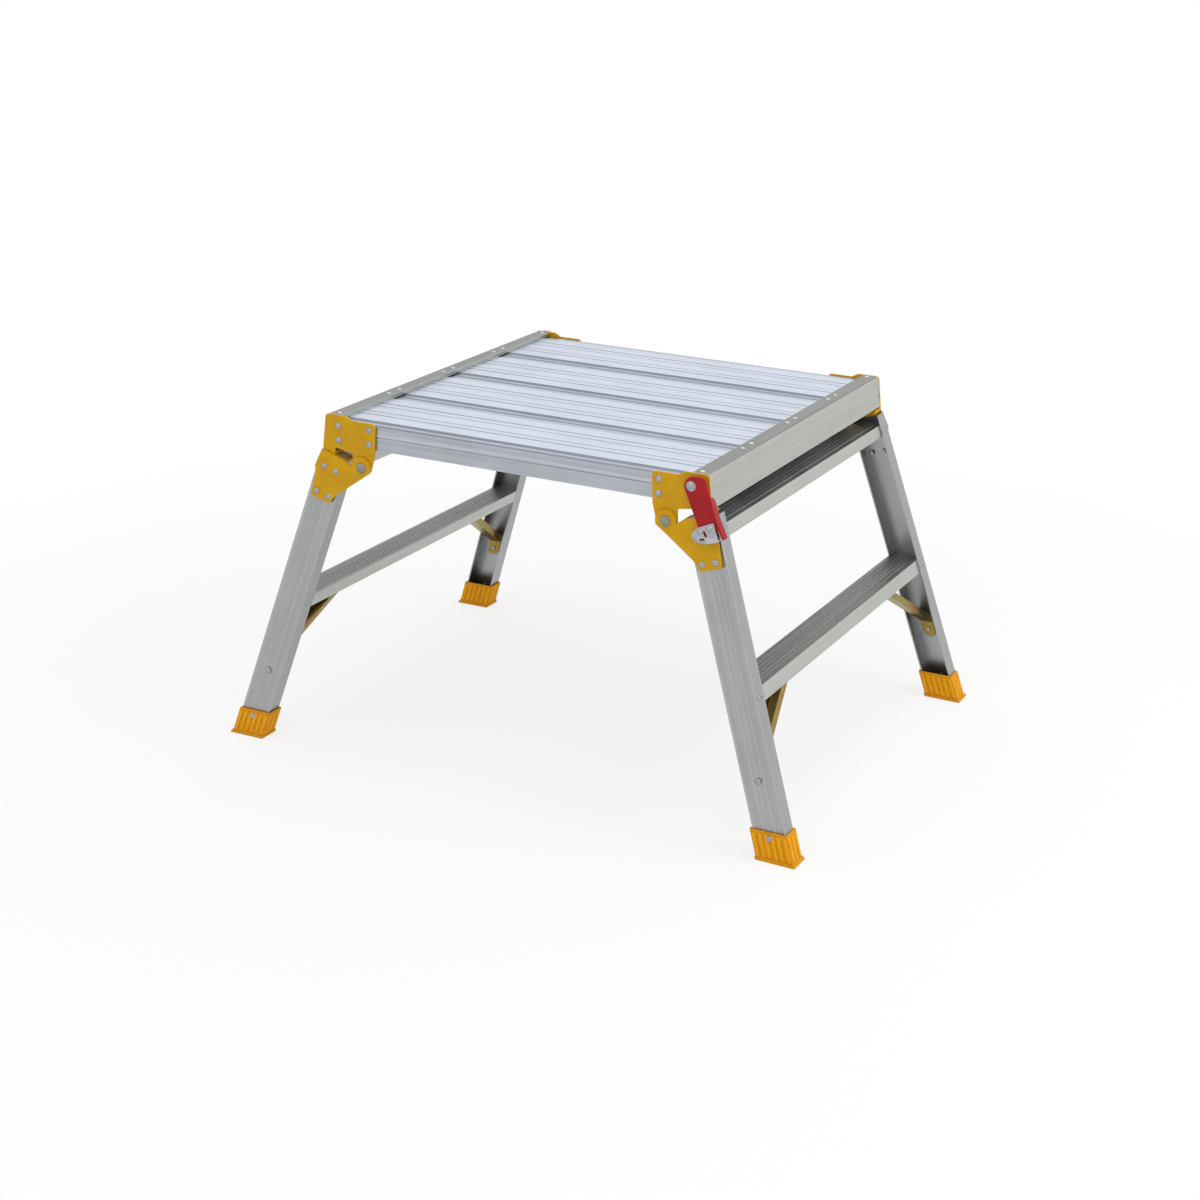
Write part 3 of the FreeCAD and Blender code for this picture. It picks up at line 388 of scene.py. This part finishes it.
def broken_edges(mesh, width, segments=2, shortest=0.0, edge_slot=None):
    """Breaks the sharp edges, as cutting and tumbling leave them; edges shorter than
    `shortest` millimetres are left."""
    sharp = [edge for edge in mesh.edges
             if len(edge.link_faces) == 2 and edge.calc_length() >= shortest * MM
             and edge.calc_face_angle(0) > SHARP_FROM]
    new_faces = rounded(mesh, sharp, width, segments)
    if edge_slot is not None:
        for face in new_faces:
            face.material_index = edge_slot


def softened(node, materials, width, choose=None, edge_slot=None, shape=None,
             shortest=0.0):
    """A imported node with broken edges; choose gives the material number of a face."""
    mesh = solid_copy(node)
    if shape:
        shape(mesh)
    if choose:
        for face in mesh.faces:
            face.material_index = choose(face)
    broken_edges(mesh, width, edge_slot=edge_slot, shortest=shortest)
    finished(mesh, node, materials)


# ---------------------------------------------------------------- rivets and pins
TURNING_STEPS = 24
DOME_ANGLES = (25, 38, 50, 62, 74, 84)
# outlines of (radius, height) in millimetres, from the top of the head down
PIN = [(0, 0), (4.2, 0), (5.4, -0.25), (6.6, -0.8), (7.5, -1.5), (7.8, -2.2),
       (7.8, -2.55), (5, -2.55), (5, -8.85), (7, -8.85), (7, -10.6), (6.2, -11.4),
       (0, -11.4)]
LATCH_PIN = [(0, 0), (1.6, -0.05), (3.6, -0.4), (5.2, -0.95), (6.4, -1.5), (7, -1.95),
             (7, -2.05), (4, -2.05), (4, -4.7), (6, -4.7), (6, -11.9), (2.5, -11.9),
             (2.5, -18.3), (3.6, -18.3), (3.4, -19.6), (0, -19.8)]
CATCH_NOSE = [(0, 0), (1.2, -0.08), (2.2, -0.4), (3, -0.95), (3.5, -1.7), (3.8, -2.5),
              (3.9, -3), (0, -3)]
CATCH_BUTTON = [(0, 0), (1.1, -0.1), (1.9, -0.5), (2.3, -1.2), (2.5, -2.2), (0, -2.2)]


def turned_part(outline, top, axis):
    """Turned part whose head lies at top and whose axis points out of the head."""
    part = bmesh.new()
    verts = [part.verts.new((radius * MM, 0, height * MM)) for radius, height in outline]
    edges = [part.edges.new(pair) for pair in zip(verts, verts[1:])]
    bmesh.ops.spin(part, geom=verts + edges, cent=(0, 0, 0), axis=UPRIGHT,
                   angle=2 * math.pi, steps=TURNING_STEPS, use_merge=True,
                   use_duplicate=False)
    bmesh.ops.remove_doubles(part, verts=part.verts, dist=0.002 * MM)
    bmesh.ops.recalc_face_normals(part, faces=part.faces)
    turn = Vector(UPRIGHT).rotation_difference(axis).to_matrix().to_4x4()
    part.transform(Matrix.Translation(top) @ turn)
    return part


def islands(node):
    """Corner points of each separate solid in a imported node.  They are sorted, because a
    set has no order of its own and every run has to give the same."""
    mesh = merged_copy(node)
    left = set(mesh.verts)
    groups = []
    while left:
        queue = [left.pop()]
        found = []
        while queue:
            vert = queue.pop()
            found.append(vert.co.copy())
            for edge in vert.link_edges:
                other = edge.other_vert(vert)
                if other in left:
                    left.remove(other)
                    queue.append(other)
        groups.append(sorted(found, key=tuple))
    mesh.free()
    return sorted(groups, key=lambda points: tuple(points[0]))


def rivet(rise, shank, tail, tail_rise=1.5, well=True):
    """Outline maker: domed head, shank and closed end.  The head of a blind rivet has the
    small well of its drawn mandrel."""
    def outline(radius, length):
        if well:
            points = [(0, -0.35), (radius * 0.2, -0.35), (radius * 0.25, -0.05)]
        else:
            points = [(0, 0), (radius * 0.25, -0.03 * rise)]
        for angle in DOME_ANGLES:
            bend = math.radians(angle)
            points.append((radius * math.sin(bend), -rise * 0.92 * (1 - math.cos(bend))))
        under_head = -rise - 0.25
        return points + [
            (radius, -rise * 0.95), (radius, under_head), (shank, under_head),
            (shank, tail_rise - length), (tail, tail_rise - length),
            (tail * 0.85, 0.4 - length), (tail * 0.4, -length), (0, -length)]
    return outline


def head_spot(points, axis):
    """Middle of the head's top, head radius and length of a riveted part, in mm."""
    runs = [point.dot(axis) for point in points]
    top = max(runs)
    cap = [point for point, run in zip(points, runs) if run > top - 0.05 * MM]
    middle = sum(cap, Vector()) / len(cap)
    radius = max((point - middle - axis * (point - middle).dot(axis)).length
                 for point in points)
    return middle, radius / MM, (top - min(runs)) / MM


def riveted(node, material, way, choose_outline):
    """All the rivets or pins of a node as one piece.  For the middle of a rivet, way gives
    its direction, and choose_outline its outline or an outline maker."""
    mesh = bmesh.new()
    for points in islands(node):
        middle = sum(points, Vector()) / len(points)
        axis = way(middle)
        top, radius, length = head_spot(points, axis)
        outline = choose_outline(middle)
        if callable(outline):
            outline = outline(radius, length)
        join(mesh, turned_part(outline, top, axis))
    finished(mesh, node, [material], smooth=40)


def outward(point):
    return Vector((0, 1 if point.y > 0 else -1, 0))


def upward(point):
    return Vector(UPRIGHT)


def off_the_flange(point):
    side = 1 if point.x > 0 else -1
    return Vector((side * math.cos(SPLAY), 0, math.sin(SPLAY)))


def through_the_leg(point):
    """Whether a brace rivet sits at the leg; the others sit under the step."""
    return abs(point.y) > 270 * MM


def brace_rivet_way(point):
    return outward(point) if through_the_leg(point) else upward(point)


def brace_rivet(point):
    return rivet(2.0 if through_the_leg(point) else 0.3, 2, 3.4, well=False)


# ---------------------------------------------------------------- platform
PLANK_PITCH = 151
SHOULDER_IN = 18.3    # joint to the inner end of a plank shoulder
SHOULDER_FOOT = 12.3  # joint to the foot of the shoulder
deck_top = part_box("deck_plank_1")[1].z


def deck_face(face):
    """Lands keep the plain tone; shoulders and grooves get darker painted shade, and sides
    are duller.
    """
    land, shoulder, groove, plank_side = range(4)
    middle = face.calc_center_median()
    if face.normal.z < 0.5 or middle.z < deck_top - 5 * MM:
        return plank_side
    plank = middle.y / MM / PLANK_PITCH - 0.5
    off = abs(plank - round(plank)) * PLANK_PITCH
    if off > PLANK_PITCH / 2 - SHOULDER_IN:
        on_slope = off < PLANK_PITCH / 2 - SHOULDER_FOOT or face.normal.z < 0.85
        return groove if on_slope else shoulder
    return land if face.normal.z > 0.97 else groove


def rail_face(face):
    """The upper side of a rail takes the darker painted-shade material."""
    return int(face.normal.z > 0.8 and face.calc_center_median().z > deck_top)


for number in (1, 2, 3, 4):
    softened("deck_plank_%d" % number,
             [deck_metal, shoulder_shade_metal, groove_shade_metal, plank_side_metal], 0.2,
             choose=deck_face, shortest=100)
for side, side_name in SIDES:
    softened("end_rail_" + side_name,
             [rail_metal, rail_top_shade_metal, rubbed_edge_and_highlight], 0.35, choose=rail_face,
             edge_slot=2, shortest=40)
riveted("rail_rivets", bright_rivet, upward, lambda point: rivet(1.4, 2, 2.8, well=False))
riveted("bracket_rivets", rivet_metal, outward, lambda point: rivet(2.0, 2.5, 3.6))
for end, end_name in ENDS:
    for side, side_name in SIDES:
        softened("bracket_%s_%s" % (end_name, side_name),
                 [yellow_coat, yellow_edge_wear_and_highlight], 0.45, edge_slot=1)
riveted("hinge_pins", pin_metal, outward, lambda point: PIN)
for side, side_name in SIDES:
    riveted("latch_pin_" + side_name, rivet_metal, outward, lambda point: LATCH_PIN)


# ---------------------------------------------------------------- leg frames
RIB_WIDTH = 5.0
RIB_RISE = 1.0
RIB_LENGTH = 32
RIB_MIDDLE = 22     # height of a rib's middle over the floor
LIP_FLARE = 1.3     # how far the sole is drawn out
BOOT_LIP = 1.2      # boot wall inside the edge of the sole
BOOT_WIDTH = 54.3   # boot walls along X, at the floor
BOOT_DEPTH = 31     # boot walls along Y, at the floor


def cross_face(face):
    """The upper side of a step or crossbar is the tread, which takes the painted-shade
    material.
    """
    return int(face.normal.z > 0.5)


def rounded_foot(foot_z):
    """Rounds the free corners of a brace strip at its foot."""
    def shape(mesh):
        corners = []
        for edge in mesh.edges:
            first, last = (vert.co for vert in edge.verts)
            if (len(edge.link_faces) == 2 and edge.calc_length() < 3.2 * MM
                    and (first.z + last.z) / 2 < foot_z + 2.5 * MM
                    and abs(last.y - first.y) > 1 * MM):
                corners.append(edge)
        rounded(mesh, corners, 8.5, 6)
    return shape


def flared_lip(mesh, low, high):
    """Draws the sole outwards, so that the boot stands on a flared lip."""
    middle = (low + high) / 2
    for vert in mesh.verts:
        from_wall = min(abs(vert.co.x - low.x), abs(vert.co.x - high.x))
        if vert.co.z < 1 * MM and from_wall < 8 * MM:
            vert.co.x += math.copysign(LIP_FLARE * MM, vert.co.x - middle.x)
            vert.co.y += math.copysign(LIP_FLARE * MM, vert.co.y - middle.y)


def boot_ribs(mesh, side, end, low, high):
    """Upright ribs on the faces of a boot, along the leg: six on each broad face and three
    on each narrow one."""
    shear = Matrix.Identity(4)
    shear[0][2] = -side * math.tan(SPLAY)
    shear[1][2] = -end * math.tan(LEAN)
    out_x = (high.x if side > 0 else low.x) - side * BOOT_LIP * MM
    in_x = out_x - side * BOOT_WIDTH * MM
    out_y = (high.y if end > 0 else low.y) - end * BOOT_LIP * MM
    in_y = out_y - end * BOOT_DEPTH * MM
    ribs = []
    for count in range(6):
        x = out_x + (in_x - out_x) * (count + 0.5) / 6
        ribs += [(x, y, RIB_WIDTH, 2 * RIB_RISE) for y in (out_y, in_y)]
    for count in range(3):
        y = out_y + (in_y - out_y) * (count + 0.5) / 3
        ribs += [(x, y, 2 * RIB_RISE, RIB_WIDTH) for x in (out_x, in_x)]
    for x, y, wide, deep in ribs:
        rib = bmesh.new()
        bmesh.ops.create_cube(rib, size=1)
        bmesh.ops.scale(rib, vec=(wide * MM, deep * MM, RIB_LENGTH * MM), verts=rib.verts)
        rounded(rib, rib.edges[:], 0.55, 2)
        bmesh.ops.translate(rib, vec=(0, 0, RIB_MIDDLE * MM), verts=rib.verts)
        rib.transform(Matrix.Translation((x, y, 0)) @ shear)
        # the ribs take the lit copy of the rubber, the walls between them the shaded one
        for face in rib.faces:
            face.material_index = 1
        join(mesh, rib)


def tapered_flange(end):
    """The bent side of a lever starts low and reaches its depth along a sloped corner."""
    def shape(mesh):
        inner = min(vert.co.y * end for vert in mesh.verts) + 0.5 * MM
        top = max(vert.co.z for vert in mesh.verts if vert.co.y * end < inner)
        corner = [edge for edge in mesh.edges
                  if all(vert.co.y * end < inner and vert.co.z > top - 3 * MM
                         for vert in edge.verts)]
        rounded(mesh, corner, 8.6, 5)
    return shape


def latch_catch(side, side_name):
    """Chromed catch: a pressed bridge with a hook slot and a relief slot cut through it,
    two raised noses and a button."""
    node = "latch_catch_" + side_name
    end = -side
    low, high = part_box(node)
    face_y = high.y if end > 0 else low.y
    axis = Vector((0, end, 0))

    def spot(inward, down):
        """Point on the catch face: millimetres in from the rail face, down from its top."""
        return Vector((side * (HALF_LENGTH - inward) * MM, face_y, (RAIL_TOP - down) * MM))

    mesh = solid_copy(node)
    broken_edges(mesh, 0.7, 3)
    bridge = placed("bridge", mesh)
    cutters = bmesh.new()
    for inward, down, length, angle in ((-2.5, 76.5, 9, 62), (1.5, 84.5, 8, -12)):
        bar = bmesh.new()
        bmesh.ops.create_cube(bar, size=1)
        bmesh.ops.scale(bar, vec=(length * MM, 12 * MM, 3.4 * MM), verts=bar.verts)
        through = [edge for edge in bar.edges
                   if abs((edge.verts[0].co - edge.verts[1].co).y) > 6 * MM]
        rounded(bar, through, 1.6, 4)
        turn = Matrix.Rotation(math.radians(side * angle), 4, "Y")
        bar.transform(Matrix.Translation(spot(inward, down)) @ turn)
        join(cutters, bar)
    slots = placed("slots", cutters)
    pierced = bridge.modifiers.new("pierced", "BOOLEAN")
    pierced.operation = "DIFFERENCE"
    pierced.solver = "EXACT"
    pierced.object = slots
    bpy.context.view_layer.update()
    graph = bpy.context.evaluated_depsgraph_get()
    catch = bmesh.new()
    catch.from_mesh(bridge.evaluated_get(graph).to_mesh())
    for thing in (bridge, slots):
        bpy.data.objects.remove(thing)
    for outline, inward, down, rise in ((CATCH_NOSE, -8.5, 67.5, 2.4),
                                        (CATCH_BUTTON, -14.5, 72.5, 1.8),
                                        (CATCH_NOSE, 5, 75, 1.6)):
        join(catch, turned_part(outline, spot(inward, down) + axis * rise * MM, axis))
    for face in catch.faces:
        face.material_index = 0
    finished(catch, node, [chrome], smooth=38)


for side, side_name in SIDES:
    for end, end_name in ENDS:
        corner = end_name + "_" + side_name
        softened("leg_" + corner, [leg_metals[corner], rubbed_edge_and_highlight], 0.4,
                 edge_slot=1, shortest=30)
        softened("leg_plate_" + corner, [yellow_coat, yellow_edge_wear_and_highlight],
                 0.45, edge_slot=1)
        softened("brace_" + corner, [brace_metal], 0.3,
                 shape=rounded_foot(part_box("brace_" + corner)[0].z))
        low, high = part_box("foot_" + corner)
        boot = solid_copy("foot_" + corner)
        flared_lip(boot, low, high)
        broken_edges(boot, 0.9, 3, shortest=8)
        boot_ribs(boot, side, end, low, high)
        finished(boot, "foot_" + corner, [shaded_boot_rubber, lit_rib_rubber],
                 smooth=35)
    for name in ("step_", "top_bar_"):
        softened(name + side_name, [step_metal, tread_shade_metal], 0.2,
                 choose=cross_face, shortest=100)
    riveted("cross_rivets_" + side_name, rivet_metal, off_the_flange,
            lambda point: rivet(1.4, 2, 3, tail_rise=1.2))
    riveted("leg_plate_rivets_" + side_name, rivet_metal, outward,
            lambda point: rivet(2.0, 2.5, 3.6))
    riveted("foot_screws_" + side_name, rivet_metal, outward,
            lambda point: rivet(1.8, 2, 3, tail_rise=2, well=False))
    riveted("brace_rivets_" + side_name, rivet_metal, brace_rivet_way, brace_rivet)
    latch_catch(side, side_name)
    softened("latch_lever_" + side_name, [red_coat, red_edge_wear_and_highlight], 0.5,
             edge_slot=1, shape=tapered_flange(-side))

# ---------------------------------------------------------------- floor, light and camera
FLOOR_REACH = 30      # metres
SHADOW_SHARE = 0.26   # how much of the floor's white gives way to its shadow
SHADOW_NEAR = 0.6     # metres from the middle: full shadow up to here
SHADOW_FAR = 1.8      # and none from here on
AMBIENT = 0.78
WHITE = "#FFFFFF"

floor_mesh = bmesh.new()
bmesh.ops.create_grid(floor_mesh, x_segments=1, y_segments=1, size=FLOOR_REACH)
floor = placed("floor", floor_mesh)


def seen_directly(tree):
    """1 for rays that show the background itself: straight, mirrored or through glass."""
    path = add_node(tree, "ShaderNodeLightPath")
    first = add_node(tree, "ShaderNodeMath", {"operation": "MAXIMUM"},
                     {0: path.outputs["Is Camera Ray"], 1: path.outputs["Is Glossy Ray"]})
    both = add_node(tree, "ShaderNodeMath", {"operation": "MAXIMUM"},
                    {0: first.outputs[0], 1: path.outputs["Is Transmission Ray"]})
    return both.outputs[0]


# Floor: a matt white paper sweep, uncoated.  It shows white, with the object's soft shadow
# fading out around it.
floor_material, tree = blank_material("white_paper_floor")
paper = add_node(tree, "ShaderNodeBsdfDiffuse", None, {"Color": linear("#F4F4F4")})
glow = add_node(tree, "ShaderNodeEmission", None, {"Color": linear(WHITE), "Strength": 1.0})
reach = add_node(tree, "ShaderNodeVectorMath", {"operation": "LENGTH"}, {
    0: add_node(tree, "ShaderNodeTexCoord").outputs["Object"]})
plain = add_node(tree, "ShaderNodeMapRange", {"interpolation_type": "SMOOTHSTEP"}, {
    "Value": reach.outputs["Value"], "From Min": SHADOW_NEAR, "From Max": SHADOW_FAR,
    "To Min": 1 - SHADOW_SHARE, "To Max": 1.0})
share = add_node(tree, "ShaderNodeMath", {"operation": "MULTIPLY"},
                 {0: seen_directly(tree), 1: plain.outputs["Result"]})
floor_shader = add_node(tree, "ShaderNodeMixShader", None, {
    0: share.outputs[0], 1: paper.outputs[0], 2: glow.outputs[0]})
add_node(tree, "ShaderNodeOutputMaterial", None, {"Surface": floor_shader.outputs[0]})
floor.data.materials.append(floor_material)

world = bpy.data.worlds.new("white_studio")
bpy.context.scene.world = world
world.use_nodes = True
world.node_tree.nodes.clear()
tree = world.node_tree
strength = add_node(tree, "ShaderNodeMapRange", None, {
    "Value": seen_directly(tree), "To Min": AMBIENT, "To Max": 1.0})
sky = add_node(tree, "ShaderNodeBackground", None, {
    "Color": linear(WHITE), "Strength": strength.outputs["Result"]})
add_node(tree, "ShaderNodeOutputWorld", None, {"Surface": sky.outputs[0]})


def soft_box(name, place, aim, size, power):
    """Square lamp of a size in metres and a power in watts, aimed at a point."""
    lamp = bpy.data.lights.new(name, "AREA")
    lamp.shape = "SQUARE"
    lamp.size = size
    lamp.energy = power
    holder = bpy.data.objects.new(name, lamp)
    holder.location = place
    aimed = (Vector(aim) - Vector(place)).to_track_quat("-Z", "Y")
    holder.rotation_euler = aimed.to_euler()
    bpy.context.scene.collection.objects.link(holder)


soft_box("soft_box_right", (2.6, 0.2, 1.7), (0, 0, 0.35), 1.6, 24)
soft_box("soft_box_above", (0.3, -0.4, 2.6), (0, 0, 0.4), 1.6, 10)
soft_box("soft_box_front", (-0.8, -3.0, 1.2), (0, 0, 0.3), 1.2, 4)

AZIMUTH = math.radians(27.66)
ELEVATION = math.radians(20.01)
ROLL = math.radians(0.84)
CAMERA_PLACE = (1.4354, -2.7706, 1.3233)
back = Vector((math.sin(AZIMUTH) * math.cos(ELEVATION),
               -math.cos(AZIMUTH) * math.cos(ELEVATION),
               math.sin(ELEVATION)))
right = (-back).cross(Vector(UPRIGHT)).normalized()
up = right.cross(-back)
rolled_right = math.cos(ROLL) * right + math.sin(ROLL) * up
rolled_up = -math.sin(ROLL) * right + math.cos(ROLL) * up
lens = bpy.data.cameras.new("camera")
lens.lens = 65.385
lens.sensor_width = 36
camera = bpy.data.objects.new("camera", lens)
turn = Matrix((rolled_right, rolled_up, back)).transposed().to_4x4()
camera.matrix_world = Matrix.Translation(CAMERA_PLACE) @ turn
bpy.context.scene.collection.objects.link(camera)
bpy.context.scene.camera = camera
bpy.context.scene.view_settings.view_transform = "Standard"
